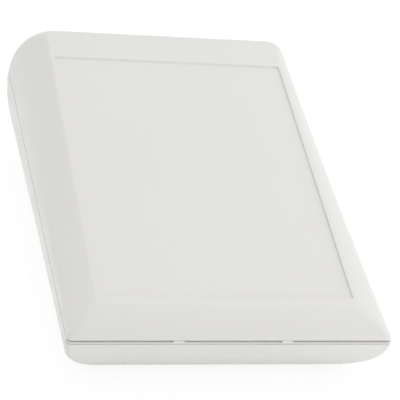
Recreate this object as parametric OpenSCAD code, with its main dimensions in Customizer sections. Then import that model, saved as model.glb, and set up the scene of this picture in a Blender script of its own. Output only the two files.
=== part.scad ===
// Sloped desktop enclosure: a wedge of two moulded shells with arched, mitred flanks.
// +X is to the right, +Y to the rear and +Z up. The origin is on the desk under the middle.
// The seam between the shells rises to the rear, and the top plane rises more steeply still.

/* [Case] */
// Width across the seam
case_w = 150; // [130:1:180]
// Length along the seam, from front to rear
case_d = 213.5; // [200:0.5:260]
// Height of the top plane above the seam at mid length
top_h = 21.5; // [20.5:0.1:28]
// Depth of the underside below the seam at mid length
base_h = 34.9; // [32:0.1:42]
// Tilt of the top plane against the seam, in degrees
top_tilt = 7.5; // [5:0.1:8]
// Tilt of the seam against the desk, in degrees
seam_tilt = 5.7; // [4:0.1:7]
// Distance that the arched flanks run in from the seam to the crease
flank_run = 13.4; // [10:0.1:15]
// Fullness of the upper flanks: 1 is a quarter ellipse, and a high value is near a parabola
top_arch = 2.1; // [1.2:0.05:4]
// Fullness of the lower flanks, on the same scale
base_arch = 3.5; // [1.2:0.05:5]
// Corner radius in plan at the seam
corner_r = 2; // [0.8:0.1:5]
// Corner radius in plan at the crease of the upper shell
top_corner_r = 4.5; // [2:0.1:8]
// Corner radius in plan at the lower crease of the base shell
base_corner_r = 4.7; // [2:0.1:10]
// Rounding of the crease between flank and top plane
crease_soft = 1; // [0.6:0.1:2]
// Thickness of the flanks
wall = 3; // [2.6:0.1:3.6]
// Thickness of the top plane and of the floor
skin = 3; // [2.6:0.1:4]

/* [Seam] */
// Height of the dark gap under the upper shell
gap_h = 0.75; // [0.4:0.05:1.2]
// Height of the rail below the gap
rail_h = 0.7; // [0.5:0.05:1.5]
// Set-back of the rail from the face of the base flank
rail_step = 0.15; // [0.1:0.05:0.5]
// Height of the fine groove under the rail
groove_h = 0.45; // [0.3:0.05:0.8]
// Depth of the fine groove behind the rail
groove_d = 0.6; // [0.3:0.05:0.8]
// Height over which the front and rear flanks of the upper shell curve in towards the gap
tuck_h = 3.6; // [2:0.1:5]
// Distance that they curve in at the gap
tuck_in = 0.25; // [0.2:0.05:0.6]
// Rounding of the edge of the upper shell
top_lip_r = 0.1; // [0.1:0.05:0.4]
// Rounding of the upper edge of the base flank, under the groove
base_lip_r = 0.4; // [0.2:0.05:0.6]
// Distance that the base shell stands proud of the upper shell at the seam, all round
base_proud = 0.25; // [0.1:0.05:0.8]
// Distance that the gap and groove run back round the corners, before the seam is closed along the sides
gap_end = 2.1; // [1.9:0.1:4]
// Set-back of the tongue that the upper shell fits over
tongue_inset = 1.8; // [1.6:0.05:1.9]
// Height of the tongue above the gap
tongue_h = 1.4; // [1:0.1:1.6]
// Clearance between the tongue and the upper shell
tongue_gap = 0.2; // [0.1:0.05:0.4]
// Width of the lugs that bridge the gap
lug_w = 4.8; // [3:0.1:8]
// Distance of each lug from the middle
lug_x = 25; // [15:0.1:40]

/* [Recess] */
// Depth of the recess in the top plane
recess_depth = 0.8; // [0.5:0.1:1.4]
// Border between the recess and the crease at the sides
recess_side = 2.3; // [1.5:0.1:8]
// Border between the recess and the crease at the front
recess_front = 5.5; // [2:0.1:10]
// Border between the recess and the crease at the rear
recess_rear = 20.7; // [15:0.1:40]
// Run of the sloping rear wall of the recess
recess_slope = 0.8; // [0.2:0.1:1.5]
// Corner radius of the recess
recess_r = 0.6; // [0.3:0.1:3]

/* [Case screws] */
// Distance of the screws from the side of the case
screw_side = 22; // [20:0.1:26]
// Distance of the screws from the front and rear of the case
screw_end = 26; // [24:0.1:32]
// Diameter of the screw core
screw_d = 2.6; // [2.2:0.1:3]
// Length of the screw under its head
screw_l = 10; // [9:0.1:11]
// Diameter of the screw head
head_d = 5.6; // [5:0.1:6]
// Height of the screw head
head_h = 2.2; // [1.8:0.1:2.6]
// Width across the corners of the drive socket
socket_d = 2.6; // [2:0.1:3.2]
// Clearance round the screw head in its well
head_gap = 0.5; // [0.3:0.05:1]
// Clearance round the screw in the base shell
shank_gap = 0.4; // [0.2:0.05:0.6]
// Clearance round the screw core in the upper shell
pilot_gap = 0.05; // [0.03:0.01:0.1]
// Thickness of the seat under the screw head
seat_t = 3; // [2:0.1:4]
// Wall of the pillars round the wells
pillar_wall = 1.8; // [1.5:0.1:2.4]
// Diameter of the upper pillars
upper_pillar_d = 8; // [7:0.1:9]
// Free length of the pilot hole past the tip of the screw
tip_room = 1; // [0.5:0.1:1.5]
// Thickness of the ribs that tie the pillars to the flanks
rib_t = 1.6; // [1.2:0.1:2.4]
// Distance of the ribs from the seam, in both shells
rib_drop = 5; // [4:0.5:8]

/* [Circuit board pillars] */
// Spacing of the board pillars across the case
board_x = 96; // [80:1:100]
// Spacing of the board pillars along the case
board_y = 130; // [100:1:136]
// Height of the board pillars above the floor
board_h = 6; // [4:0.5:10]
// Diameter of the board pillars
board_pillar_d = 7; // [6:0.1:8]
// Diameter of the pilot holes in the board pillars
board_hole_d = 2.4; // [2:0.1:3]

/* [Display board bosses] */
// Spacing of the bosses under the recess across the case
boss_x = 90; // [60:1:100]
// Spacing of the bosses under the recess along the case
boss_y = 120; // [80:1:130]
// Height of the bosses below the top plane
boss_h = 4; // [3:0.5:6]
// Diameter of the bosses
boss_d = 6; // [5:0.1:7]
// Diameter of the pilot holes in the bosses
boss_hole_d = 2.1; // [1.8:0.1:2.5]

/* [Feet] */
// Diameter of the feet
foot_d = 12; // [8:0.5:14]
// Height of a foot
foot_h = 2.2; // [1.8:0.1:3]
// Depth of the pocket that holds a foot
foot_pocket = 1.2; // [0.8:0.1:1.4]
// Clearance round a foot in its pocket
foot_gap = 0.2; // [0.1:0.05:0.4]
// Distance of the feet from the side of the case
foot_side = 24; // [22:0.1:30]
// Distance of the feet from the front and rear of the case
foot_end = 43; // [41:0.1:60]
// Rounding of the lower edge of a foot
foot_round = 0.6; // [0.3:0.1:0.9]

/* [Hidden] */
$fn = 48;

shell_colour = [0.90, 0.89, 0.87];
screw_colour = [0.70, 0.71, 0.73];
foot_colour = [0.25, 0.25, 0.26];

// Steps of the curved surfaces, fine outside and coarser inside
arc_steps = 16;
inner_arc_steps = 6;
side_steps = 12;
corner_steps = 5;
inner_corner_steps = 3;
edge_steps = 4;
lip_steps = 3;
tuck_steps = 4;

// Reach of a cut past the face that it opens
cut = 1;
// Overlap of pieces that join into one solid
weld = 0.3;
// Smallest radius left inside a corner
least_r = 0.5;
// Corners of the case as signs of X and Y
left = -1;
right = 1;
front = -1;
rear = 1;
sides = [left, right];
ends = [front, rear];

top_slope = tan(top_tilt);
seam_slope = tan(seam_tilt);
// Depth of the shoulder where the base flank starts, below the middle of the gap
shoulder = gap_h / 2 + rail_h + groove_h;
// Outer forms: height at mid length from where the flanks start, slope, corner radius at the crease,
// arch, radius of the lip, tuck at the front and rear, and reach past the width and length
top_line = [top_h - gap_h / 2, top_slope, top_corner_r, top_arch, top_lip_r, tuck_in, 0];
base_line = [base_h - shoulder, seam_slope, base_corner_r, base_arch, base_lip_r, 0, base_proud];
foot_proud = foot_h - foot_pocket;
seam_z = foot_proud + base_h * cos(seam_tilt);
tongue_top = gap_h / 2 + tongue_h;
// Face of the rail, measured inwards from the face of the upper shell
rail_inset = rail_step - base_proud;

screw_x = case_w / 2 - screw_side;
screw_y = case_d / 2 - screw_end;
foot_x = case_w / 2 - foot_side;
foot_y = case_d / 2 - foot_end;
well_d = head_d + 2 * head_gap;
pillar_d = well_d + 2 * pillar_wall;
pilot_d = screw_d + 2 * pilot_gap;
floor_z = foot_proud + skin;

// Extent of the recess along the seam, and its middle
recess_y0 = -case_d / 2 + flank_run + recess_front;
recess_y1 = case_d / 2 - flank_run - recess_rear;
recess_mid = (recess_y0 + recess_y1) / 2;
recess_w = case_w - 2 * (flank_run + recess_side);
recess_d = (recess_y1 - recess_y0) / cos(top_tilt);

// Height of the seam above the desk at a distance y along the desk
function seam_at(y) = seam_z + y * seam_slope;

// Height of an outer face at y, from its line of height at mid length and slope
function line_at(line, y) = line[0] + line[1] * y;

// Share of its run that a flank has run in at a share of its height: an arc that leaves the seam
// square, stretched so that it keeps its shape while the height changes along the case
function arch(fullness, share) =
  let (radius = (1 + fullness * fullness) / 2)
  radius - sqrt(radius * radius - pow(fullness * share, 2));

// Weighted mean of three values along a rounded edge
function blend3(a, b, c, t) = (1 - t) * (1 - t) * a + 2 * t * (1 - t) * b + t * t * c;

// Inset and share of height of step k, a depth t inside: the arc of the flank, then its rounded crease
function flank_step(k, steps, height, fullness, t) =
  let (start = 1 - crease_soft / height, share = start * sin(90 * min(k / steps, 1)))
  let (arc = flank_run * arch(fullness, share) + t, crease = flank_run + t)
  k <= steps
    ? [arc, share]
    : let (u = (k - steps) / edge_steps)
      [blend3(arc, crease, crease + crease_soft, u), blend3(share, 1, 1, u)];

// Set-back of the front and rear flanks at a height z above their edge, where it is tuck
function tuck_at(z, tuck) = tuck * (1 - sqrt(1 - pow(1 - min(z / tuck_h, 1), 2)));

// Right half of ring k from the front to the rear, as points on an outline with rounded corners.
// The edge holds a set-back all round, a lift and a tuck.
function half_ring(k, steps, turns, line, t, cap, edge) =
  let (y_max = case_d / 2 - flank_run)
  let (f = flank_step(k, steps, line_at(line, -y_max) - cap, line[3], t))
  let (b = flank_step(k, steps, line_at(line, y_max) - cap, line[3], t))
  let (r = max(corner_r + (line[2] - corner_r) * f[1] - t, least_r))
  let (f_in = f[0] + edge[0] - line[6], f_z = edge[1] + f[1] * line_at(line, -y_max))
  let (b_in = b[0] + edge[0] - line[6], b_z = edge[1] + b[1] * line_at(line, y_max))
  let (y0 = -case_d / 2 + f_in + tuck_at(f_z, edge[2]) + r, x0 = case_w / 2 - f_in - r)
  let (y1 = case_d / 2 - b_in - tuck_at(b_z, edge[2]) - r, x1 = case_w / 2 - b_in - r)
  concat(
    [for (i = [0:turns]) let (a = -90 + 90 * i / turns)
      [x0 + r * cos(a), y0 + r * sin(a), f[1]]],
    [for (i = [1:side_steps - 1]) let (y = y0 + (y1 - y0) * i / side_steps)
      let (s = flank_step(k, steps, line_at(line, min(max(y, -y_max), y_max)) - cap, line[3], t))
      [case_w / 2 - s[0] - edge[0] + line[6], y, s[1]]],
    [for (i = [0:turns]) let (a = 90 * i / turns)
      [x1 + r * cos(a), y1 + r * sin(a), b[1]]]
  );

// Ring k of a loft, with its share of height turned into a height above the start plus a lift
function ring(k, steps, turns, line, t, cap, edge) =
  let (half = half_ring(k, steps, turns, line, t, cap, edge), n = len(half), lift = edge[1])
  let (whole = concat(half, [for (i = [n - 1:-1:0]) [-half[i][0], half[i][1], half[i][2]]]))
  [for (p = whole) [p[0], p[1], lift + p[2] * (line_at(line, p[1]) - cap - lift)]];

// Closed solid through a stack of rings with as many points each
module through_rings(rings) {
  n = len(rings[0]);
  last = len(rings) - 1;
  walls = [for (k = [0:last - 1], i = [0:n - 1])
    let (a = k * n + i, b = k * n + (i + 1) % n)
    each [[a, a + n, b + n], [a, b + n, b]]];
  polyhedron(
    points = [for (r = rings) each r],
    faces = concat([[for (i = [0:n - 1]) i]], walls, [[for (i = [n - 1:-1:0]) last * n + i]])
  );
}

// Outer form of a shell: rounded lip, arched flanks and rounded crease, up from the seam
module outer_form(line) {
  lip = [for (k = [0:lip_steps - 1]) let (a = 90 * k / lip_steps)
    ring(0, arc_steps, corner_steps, line, 0, 0, line[4] * [1 - sin(a), 1 - cos(a), 0] + [0, 0, line[5]])];
  tuck = [for (k = [0:tuck_steps - 1])
    ring(k / tuck_steps, arc_steps, corner_steps, line, 0, 0, [0, line[4], line[5]])];
  flank = [for (k = [1:arc_steps + edge_steps])
    ring(k, arc_steps, corner_steps, line, 0, 0, [0, line[4], line[5]])];
  through_rings(concat(lip, tuck, flank));
}

// Form that lies a depth t inside the flanks and a depth cap under the plane, with a neck past the seam
module inner_form(line, t, cap, neck) {
  start = ring(0, inner_arc_steps, inner_corner_steps, line, t, cap, [0, 0, 0]);
  flank = [for (k = [0:inner_arc_steps + edge_steps])
    ring(k, inner_arc_steps, inner_corner_steps, line, t, cap, [0, 0, 0])];
  through_rings(concat([[for (p = start) [p[0], p[1], -neck]]], flank));
}

module rounded_rectangle(w, d, r) {
  square([w - 2 * r, d], center = true);
  square([w, d - 2 * r], center = true);
  for (x = sides, y = ends) translate([x * (w / 2 - r), y * (d / 2 - r)]) circle(r = r);
}

// Plate with the outline of the seam, set back all round
module seam_plate(inset, low, high) {
  translate([0, 0, low])
    linear_extrude(high - low)
      rounded_rectangle(case_w - 2 * inset, case_d - 2 * inset, max(corner_r - inset, least_r));
}

// Places something drawn on the seam in the upright case
module on_seam() {
  translate([0, 0, seam_z]) rotate([seam_tilt, 0, 0]) children();
}

// Places something drawn on the top plane, with its middle under the middle of the recess
module on_top_plane() {
  on_seam()
    translate([0, recess_mid, top_h + recess_mid * top_slope])
      rotate([top_tilt, 0, 0])
        children();
}

// Everything below the plane at z, wherever it is placed
module all_below(z) {
  reach = case_d + case_w;
  translate([-reach / 2, -reach / 2, z - reach]) cube(reach);
}

// Recess, up past the top plane, with a rear wall that slopes up to it
module recess_cut() {
  intersection() {
    translate([0, 0, -recess_depth])
      linear_extrude(recess_depth + cut)
        rounded_rectangle(recess_w, recess_d + recess_slope, recess_r);
    rotate([90, 0, 90])
      linear_extrude(recess_w, center = true)
        polygon([
          [-recess_d, -recess_depth], [(recess_d - recess_slope) / 2, -recess_depth],
          [(recess_d + recess_slope) / 2, 0], [recess_d, cut], [-recess_d, cut]
        ]);
  }
}

// Upright ribs from the case screws out to the flanks, too long and too high until they are trimmed
module rib_crosses() {
  for (x = sides, y = ends) translate([x * screw_x, y * screw_y, 0]) {
    translate([x > 0 ? 0 : -screw_side, -rib_t / 2, 0]) cube([screw_side, rib_t, seam_z + 2 * top_h]);
    translate([-rib_t / 2, y > 0 ? 0 : -screw_end, 0]) cube([rib_t, screw_end, seam_z + 2 * top_h]);
  }
}

module gap_lug(x, y) {
  depth = tongue_inset - rail_inset + weld;
  face_y = y * (case_d / 2 - rail_inset);
  translate([x * lug_x - lug_w / 2, face_y - (y > 0 ? depth : 0), -gap_h / 2 - weld])
    cube([lug_w, depth, gap_h + weld]);
}

// Sides of the seam, closed flush with the flanks of the base behind the ends of the gap and groove
module seam_closures() {
  intersection() {
    seam_plate(-base_proud, -shoulder - base_lip_r, gap_h / 2);
    for (x = sides)
      translate([x * case_w / 2, 0, 0]) cube([2 * wall, case_d - 2 * gap_end, case_w], center = true);
  }
}

module top_shell() {
  color(shell_colour)
    difference() {
      union() {
        difference() {
          on_seam() translate([0, 0, gap_h / 2]) outer_form(top_line);
          on_seam() translate([0, 0, gap_h / 2]) inner_form(top_line, wall, skin, cut);
          on_seam() seam_plate(tongue_inset - tongue_gap, gap_h / 2 - cut, tongue_top + tongue_gap);
        }
        intersection() {
          for (x = sides, y = ends)
            translate([x * screw_x, y * screw_y, seam_at(y * screw_y)])
              cylinder(d = upper_pillar_d, h = 2 * top_h);
          on_top_plane() all_below(-(skin + recess_depth) / 2);
        }
        intersection() {
          rib_crosses();
          on_seam() translate([0, 0, gap_h / 2]) inner_form(top_line, wall / 2, (skin + recess_depth) / 2, 0);
          on_seam() mirror([0, 0, 1]) all_below(-rib_drop);
        }
        on_top_plane()
          for (x = sides, y = ends)
            translate([x * boss_x / 2, y * boss_y / 2, -skin - boss_h])
              cylinder(d = boss_d, h = boss_h + skin / 2 - recess_depth / 2);
      }
      on_top_plane() recess_cut();
      for (x = sides, y = ends)
        translate([x * screw_x, y * screw_y, seam_at(y * screw_y) - cut])
          cylinder(d = pilot_d, h = cut + screw_l - seat_t + tip_room);
      on_top_plane()
        for (x = sides, y = ends)
          translate([x * boss_x / 2, y * boss_y / 2, -skin - boss_h - cut])
            cylinder(d = boss_hole_d, h = boss_h + cut);
    }
}

module base_shell() {
  color(shell_colour)
    difference() {
      union() {
        difference() {
          on_seam() {
            translate([0, 0, -shoulder]) mirror([0, 0, 1]) outer_form(base_line);
            seam_plate(rail_inset + groove_d, -shoulder - weld, -gap_h / 2 - weld);
            seam_plate(rail_inset, -gap_h / 2 - rail_h, -gap_h / 2);
            seam_plate(tongue_inset, -gap_h / 2 - weld, tongue_top);
            for (x = sides, y = ends) gap_lug(x, y);
            seam_closures();
          }
          on_seam()
            translate([0, 0, -shoulder])
              mirror([0, 0, 1])
                inner_form(base_line, wall + base_proud, skin, shoulder + tongue_top + cut);
        }
        intersection() {
          rib_crosses();
          on_seam()
            translate([0, 0, -shoulder])
              mirror([0, 0, 1]) inner_form(base_line, wall / 2, skin / 2, 0);
          on_seam() all_below(-rib_drop);
        }
        for (x = sides, y = ends)
          translate([x * screw_x, y * screw_y, foot_proud + skin / 2])
            cylinder(d = pillar_d, h = seam_at(y * screw_y) - foot_proud - skin / 2);
        for (x = sides, y = ends)
          translate([x * board_x / 2, y * board_y / 2, foot_proud + skin / 2])
            cylinder(d = board_pillar_d, h = skin / 2 + board_h);
      }
      for (x = sides, y = ends) translate([x * screw_x, y * screw_y, 0]) {
        cylinder(d = well_d, h = seam_at(y * screw_y) - seat_t);
        cylinder(d = screw_d + 2 * shank_gap, h = seam_at(y * screw_y) + cut);
      }
      for (x = sides, y = ends)
        translate([x * board_x / 2, y * board_y / 2, floor_z])
          cylinder(d = board_hole_d, h = board_h + cut);
      for (x = sides, y = ends)
        translate([x * foot_x, y * foot_y, foot_proud - cut])
          cylinder(d = foot_d + 2 * foot_gap, h = foot_pocket + cut);
    }
}

// Screw with its head down, seated under the web of its pillar
module case_screw(x, y) {
  color(screw_colour)
    translate([x * screw_x, y * screw_y, seam_at(y * screw_y) - seat_t])
      difference() {
        union() {
          cylinder(d = screw_d, h = screw_l);
          translate([0, 0, -head_h]) cylinder(d = head_d, h = head_h);
        }
        translate([0, 0, -head_h - cut]) cylinder(d = socket_d, h = cut + head_h / 2, $fn = 6);
      }
}

// Rubber foot with a rounded lower edge
module foot(x, y) {
  color(foot_colour)
    translate([x * foot_x, y * foot_y, 0])
      rotate_extrude() {
        square([foot_d / 2 - foot_round, foot_h]);
        translate([0, foot_round]) square([foot_d / 2, foot_h - foot_round]);
        translate([foot_d / 2 - foot_round, foot_round]) circle(r = foot_round);
      }
}

top_shell();
base_shell();
case_screw(left, front);  // case_screw_front_left
case_screw(right, front);  // case_screw_front_right
case_screw(left, rear);  // case_screw_rear_left
case_screw(right, rear);  // case_screw_rear_right
foot(left, front);  // foot_front_left
foot(right, front);  // foot_front_right
foot(left, rear);  // foot_rear_left
foot(right, rear);  // foot_rear_right
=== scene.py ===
# Looks of the sloped desktop enclosure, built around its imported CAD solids.
# Everything is in metres, in the frame of the CAD: +X right, +Y rear, +Z up, with the desk at Z = 0.
import math

import bpy
from mathutils import Matrix, Vector

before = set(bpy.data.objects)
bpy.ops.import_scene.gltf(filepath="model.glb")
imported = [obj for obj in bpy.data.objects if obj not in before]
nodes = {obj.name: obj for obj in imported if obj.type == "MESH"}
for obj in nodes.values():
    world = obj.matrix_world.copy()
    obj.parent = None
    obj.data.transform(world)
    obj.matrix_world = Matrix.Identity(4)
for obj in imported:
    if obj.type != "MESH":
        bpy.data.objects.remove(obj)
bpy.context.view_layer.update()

MM = 0.001

# Camera of the photograph
CAMERA_AZIMUTH = math.radians(-18.379)
CAMERA_ELEVATION = math.radians(29.882)
CAMERA_ROLL = math.radians(10.742)
CAMERA_DISTANCE = 832.652 * MM
CAMERA_TARGET = Vector((6.361, -3.527, 35.677)) * MM
CAMERA_CLIP_START = 0.01
CAMERA_CLIP_END = 50.0
# Focal length and sensor width in millimetres
CAMERA_LENS = 153.243
SENSOR_WIDTH = 36.0

# Colours in linear light
SHELL_COLOUR = (0.779, 0.771, 0.748, 1.0)
SHELL_COLOUR_LOW = (0.771, 0.763, 0.738, 1.0)
ZINC_COLOUR = (0.62, 0.63, 0.65, 1.0)
ZINC_COLOUR_LOW = (0.52, 0.54, 0.57, 1.0)
RUBBER_COLOUR = (0.052, 0.052, 0.055, 1.0)
RUBBER_COLOUR_WORN = (0.085, 0.085, 0.088, 1.0)
WHITE = (1.0, 1.0, 1.0, 1.0)

# Noise patterns: scale in waves per metre, detail and roughness of the pattern
SHELL_GRAIN = (2600, 3, 0.6)
SHELL_FLOW = (14, 2, 0.5)
ZINC_PATCHES = (900, 3, 0.5)
RUBBER_SPECKLE = (1400, 4, 0.65)
# Values of a noise pattern that are stretched to a whole range of tone or roughness
NOISE_RANGE = (0.3, 0.7)
# Shares at the low and at the high end of a range
RISING = (0, 1)
FALLING = (1, 0)

# Roughness of the surfaces, from the lowest to the highest noise
SHELL_ROUGHNESS = (0.44, 0.54)
ZINC_ROUGHNESS = (0.24, 0.4)
RUBBER_ROUGHNESS = (0.72, 0.88)

# Gloss of the plastic and of the metal
SHELL_IOR = 1.5
ZINC_METALLIC = 1.0

# Relief: depth and strength
SHELL_WAVE_RELIEF = (0.04 * MM, 0.2)
SHELL_GRAIN_RELIEF = (0.012 * MM, 0.5)
ZINC_RING_RELIEF = (0.02 * MM, 0.4)
RUBBER_RELIEF = (0.03 * MM, 0.5)

# Turning marks of the screws, and the shift that puts their centre in the middle of a screw's box
RING_SCALE = 9
RING_DISTORTION = 0.6
RING_DETAIL = 2
RING_SHIFT = (-0.5, -0.5, 0)

# Heights between which the wear of the feet fades out
WORN_HEIGHTS = (0, 0.4 * MM)

# Sockets of the colour mix by number, because its other sockets have the same names
MIX_FACTOR = 0
MIX_FIRST = 6
MIX_SECOND = 7
MIX_RESULT = 2

# Light of the sky: its level, how it grows along each axis, and its level where it is seen
SKY_STRENGTH = 0.795
SKY_SLOPE = (-0.078, 0.143, 0.0)
SKY_SEEN_STRENGTH = 1.0
# Name, place, side in metres and power in watts of each lamp
LAMPS = [
    ("rear_lamp", (0.8, 0.7, 1.6), 1.6, 8.3),
    ("right_lamp", (0.45, -0.35, 0.15), 0.4, 0.15),
    ("low_lamp", (0.6, -0.6, 0.04), 0.06, 1.13),
]
# Narrow beam straight down on the floor to the left of the case, which throws soft light up
BOUNCE_PLACE = (-0.118, 0.0, 0.3)
BOUNCE_WIDTH = 0.06
BOUNCE_LENGTH = 0.2
BOUNCE_SPREAD = math.radians(6)
BOUNCE_POWER = 0.038

# White floor, just under the feet, and how it looks where it is seen
FLOOR_SIDE = 12.0
FLOOR_DROP = 0.1 * MM
FLOOR_COLOUR = (0.97, 0.97, 0.97, 1.0)
FLOOR_SEEN_COLOUR = (0.19, 0.19, 0.19, 1.0)
FLOOR_SEEN_GLOW = 0.85

# Smoothing of the CAD surfaces
WELD_DISTANCE = 0.01 * MM
SHARP_ANGLE = math.radians(38)


def make_camera():
    back = Vector((
        math.sin(CAMERA_AZIMUTH) * math.cos(CAMERA_ELEVATION),
        -math.cos(CAMERA_AZIMUTH) * math.cos(CAMERA_ELEVATION),
        math.sin(CAMERA_ELEVATION),
    ))
    level_right = Vector((0, 0, 1)).cross(back).normalized()
    level_up = back.cross(level_right)
    right = math.cos(CAMERA_ROLL) * level_right + math.sin(CAMERA_ROLL) * level_up
    up = math.cos(CAMERA_ROLL) * level_up - math.sin(CAMERA_ROLL) * level_right
    data = bpy.data.cameras.new("photo_camera")
    data.lens = CAMERA_LENS
    data.sensor_fit = "HORIZONTAL"
    data.sensor_width = SENSOR_WIDTH
    data.clip_start = CAMERA_CLIP_START
    data.clip_end = CAMERA_CLIP_END
    camera = bpy.data.objects.new("photo_camera", data)
    turn = Matrix((right, up, back)).transposed().to_4x4()
    camera.matrix_world = Matrix.Translation(CAMERA_TARGET + back * CAMERA_DISTANCE) @ turn
    bpy.context.scene.collection.objects.link(camera)
    bpy.context.scene.camera = camera


def new_material(name):
    material = bpy.data.materials.new(name)
    material.use_nodes = True
    material.node_tree.nodes.clear()
    return material, material.node_tree


def in_order(*values):
    # Inputs by their order, for nodes whose inputs share a name
    return dict(enumerate(values))


def add_node(tree, kind, inputs, **settings):
    # Adds a node, whose inputs are plain values or outputs of other nodes
    node = tree.nodes.new(kind)
    for name, value in settings.items():
        setattr(node, name, value)
    for key, value in inputs.items():
        if isinstance(value, bpy.types.NodeSocket):
            tree.links.new(value, node.inputs[key])
        else:
            node.inputs[key].default_value = value
    return node


def add_coordinates(tree, name):
    return add_node(tree, "ShaderNodeTexCoord", {}).outputs[name]


def add_noise(tree, place, pattern):
    scale, detail, roughness = pattern
    inputs = {"Vector": place, "Scale": scale, "Detail": detail, "Roughness": roughness}
    return add_node(tree, "ShaderNodeTexNoise", inputs).outputs["Fac"]


def add_range(tree, value, old_range, new_range):
    low, high = old_range
    new_low, new_high = new_range
    inputs = {"Value": value, "From Min": low, "From Max": high, "To Min": new_low, "To Max": new_high}
    return add_node(tree, "ShaderNodeMapRange", inputs).outputs["Result"]


def add_math(tree, operation, first, second):
    return add_node(tree, "ShaderNodeMath", in_order(first, second), operation=operation).outputs["Value"]


def add_blend(tree, factor, first, second):
    inputs = {MIX_FACTOR: factor, MIX_FIRST: first, MIX_SECOND: second}
    return add_node(tree, "ShaderNodeMix", inputs, data_type="RGBA").outputs[MIX_RESULT]


def add_bump(tree, height, relief, below=None):
    depth, strength = relief
    inputs = {"Height": height, "Distance": depth, "Strength": strength}
    if below:
        inputs["Normal"] = below
    return add_node(tree, "ShaderNodeBump", inputs).outputs["Normal"]


def add_surface(tree, inputs):
    shader = add_node(tree, "ShaderNodeBsdfPrincipled", inputs)
    add_node(tree, "ShaderNodeOutputMaterial", {"Surface": shader.outputs["BSDF"]})


def shell_plastic():
    # Off-white moulded plastic with a fine spark-eroded grain and a satin sheen
    material, tree = new_material("shell_plastic_look")
    place = add_coordinates(tree, "Object")
    grain = add_noise(tree, place, SHELL_GRAIN)
    flow = add_noise(tree, place, SHELL_FLOW)
    tone = add_range(tree, flow, NOISE_RANGE, RISING)
    waves = add_bump(tree, flow, SHELL_WAVE_RELIEF)
    add_surface(tree, {
        "Base Color": add_blend(tree, tone, SHELL_COLOUR, SHELL_COLOUR_LOW),
        "Roughness": add_range(tree, grain, NOISE_RANGE, SHELL_ROUGHNESS),
        "Normal": add_bump(tree, grain, SHELL_GRAIN_RELIEF, waves),
        "IOR": SHELL_IOR,
    })
    return material


def zinc_steel():
    # Zinc-plated steel with fine turning marks round the screw's axis
    material, tree = new_material("screw_steel_look")
    inputs = {"Vector": add_coordinates(tree, "Generated"), "Location": RING_SHIFT}
    centred = add_node(tree, "ShaderNodeMapping", inputs).outputs["Vector"]
    inputs = {"Vector": centred, "Scale": RING_SCALE, "Distortion": RING_DISTORTION, "Detail": RING_DETAIL}
    rings = add_node(tree, "ShaderNodeTexWave", inputs, wave_type="RINGS", rings_direction="Z").outputs["Fac"]
    patches = add_noise(tree, add_coordinates(tree, "Object"), ZINC_PATCHES)
    tone = add_range(tree, patches, NOISE_RANGE, RISING)
    add_surface(tree, {
        "Base Color": add_blend(tree, tone, ZINC_COLOUR, ZINC_COLOUR_LOW),
        "Metallic": ZINC_METALLIC,
        "Roughness": add_range(tree, patches, NOISE_RANGE, ZINC_ROUGHNESS),
        "Normal": add_bump(tree, rings, ZINC_RING_RELIEF),
    })
    return material


def foot_rubber():
    # Dull dark rubber, a little paler where it rubs on the desk
    material, tree = new_material("foot_rubber_look")
    place = add_coordinates(tree, "Object")
    speckle = add_noise(tree, place, RUBBER_SPECKLE)
    height = add_node(tree, "ShaderNodeSeparateXYZ", {"Vector": place}).outputs["Z"]
    low = add_range(tree, height, WORN_HEIGHTS, FALLING)
    worn = add_math(tree, "MULTIPLY", low, speckle)
    add_surface(tree, {
        "Base Color": add_blend(tree, worn, RUBBER_COLOUR, RUBBER_COLOUR_WORN),
        "Roughness": add_range(tree, speckle, NOISE_RANGE, RUBBER_ROUGHNESS),
        "Normal": add_bump(tree, speckle, RUBBER_RELIEF),
    })
    return material


def smooth_surface(piece):
    # Welds the facets, keeps the true edges sharp and lets the large flat faces stay flat in their shading
    for name in ("custom_normal", "sharp_face", "sharp_edge"):
        attribute = piece.data.attributes.get(name)
        if attribute:
            piece.data.attributes.remove(attribute)
    weld = piece.modifiers.new("weld", "WELD")
    weld.merge_threshold = WELD_DISTANCE
    split = piece.modifiers.new("split", "EDGE_SPLIT")
    split.split_angle = SHARP_ANGLE
    split.use_edge_sharp = False
    shade = piece.modifiers.new("shade", "WEIGHTED_NORMAL")
    shade.mode = "FACE_AREA"


def dress(names, material):
    for name in names:
        piece = nodes[name]
        piece.data.materials.clear()
        piece.data.materials.append(material)
        for polygon in piece.data.polygons:
            polygon.material_index = 0
        smooth_surface(piece)


def add_seen_rays(tree):
    # One where the camera, a reflection or glass looks at the background
    path = add_node(tree, "ShaderNodeLightPath", {})
    total = path.outputs["Is Camera Ray"]
    for name in ("Is Glossy Ray", "Is Transmission Ray"):
        total = add_math(tree, "MAXIMUM", total, path.outputs[name])
    return total


def add_background(tree, lighting, seen):
    # Shader that lights the object in one way and looks another way where it is seen
    inputs = in_order(add_seen_rays(tree), lighting, seen)
    return add_node(tree, "ShaderNodeMixShader", inputs).outputs["Shader"]


def floor_white():
    material, tree = new_material("floor_white")
    plain = add_node(tree, "ShaderNodeBsdfDiffuse", {"Color": FLOOR_COLOUR}).outputs["BSDF"]
    shaded = add_node(tree, "ShaderNodeBsdfDiffuse", {"Color": FLOOR_SEEN_COLOUR}).outputs["BSDF"]
    inputs = {"Color": WHITE, "Strength": FLOOR_SEEN_GLOW}
    glow = add_node(tree, "ShaderNodeEmission", inputs).outputs["Emission"]
    seen = add_node(tree, "ShaderNodeAddShader", in_order(shaded, glow)).outputs["Shader"]
    add_node(tree, "ShaderNodeOutputMaterial", {"Surface": add_background(tree, plain, seen)})
    return material


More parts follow.
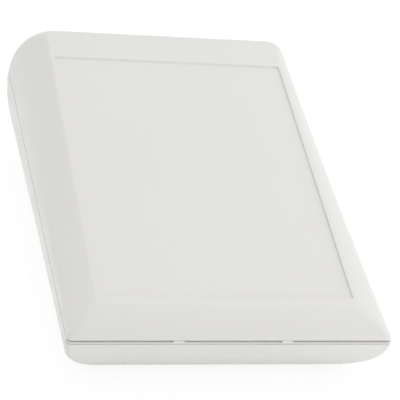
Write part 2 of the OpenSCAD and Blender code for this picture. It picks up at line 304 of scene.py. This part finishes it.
def make_floor():
    half = FLOOR_SIDE / 2
    mesh = bpy.data.meshes.new("floor")
    corners = [(x * half, y * half, -FLOOR_DROP) for x, y in ((-1, -1), (1, -1), (1, 1), (-1, 1))]
    mesh.from_pydata(corners, [], [(0, 1, 2, 3)])
    floor = bpy.data.objects.new("floor", mesh)
    mesh.materials.append(floor_white())
    bpy.context.scene.collection.objects.link(floor)


def make_sky():
    # White sky, a little brighter to the left and to the rear
    world = bpy.data.worlds.new("soft_white")
    world.use_nodes = True
    tree = world.node_tree
    tree.nodes.clear()
    inputs = in_order(add_coordinates(tree, "Generated"), SKY_SLOPE)
    slope = add_node(tree, "ShaderNodeVectorMath", inputs, operation="DOT_PRODUCT").outputs["Value"]
    level = add_math(tree, "ADD", slope, SKY_STRENGTH)
    light = add_node(tree, "ShaderNodeBackground", {"Color": WHITE, "Strength": level})
    seen = add_node(tree, "ShaderNodeBackground", {"Color": WHITE, "Strength": SKY_SEEN_STRENGTH})
    surface = add_background(tree, light.outputs["Background"], seen.outputs["Background"])
    add_node(tree, "ShaderNodeOutputWorld", {"Surface": surface})
    bpy.context.scene.world = world


def add_lamp(name, shape, place, size, power):
    data = bpy.data.lights.new(name, "AREA")
    data.shape = shape
    data.size = size
    data.energy = power
    lamp = bpy.data.objects.new(name, data)
    lamp.location = place
    lamp.visible_camera = False
    bpy.context.scene.collection.objects.link(lamp)
    return lamp


def make_lamps():
    for name, place, side, power in LAMPS:
        lamp = add_lamp(name, "SQUARE", place, side, power)
        lamp.rotation_mode = "QUATERNION"
        lamp.rotation_quaternion = (CAMERA_TARGET - Vector(place)).to_track_quat("-Z", "Y")
    bounce = add_lamp("bounce_lamp", "RECTANGLE", BOUNCE_PLACE, BOUNCE_WIDTH, BOUNCE_POWER)
    bounce.data.size_y = BOUNCE_LENGTH
    bounce.data.spread = BOUNCE_SPREAD


make_camera()
dress(["top_shell", "base_shell"], shell_plastic())
dress([name for name in nodes if name.startswith("case_screw")], zinc_steel())
dress([name for name in nodes if name.startswith("foot")], foot_rubber())
make_floor()
make_sky()
make_lamps()
bpy.context.scene.view_settings.view_transform = "Standard"
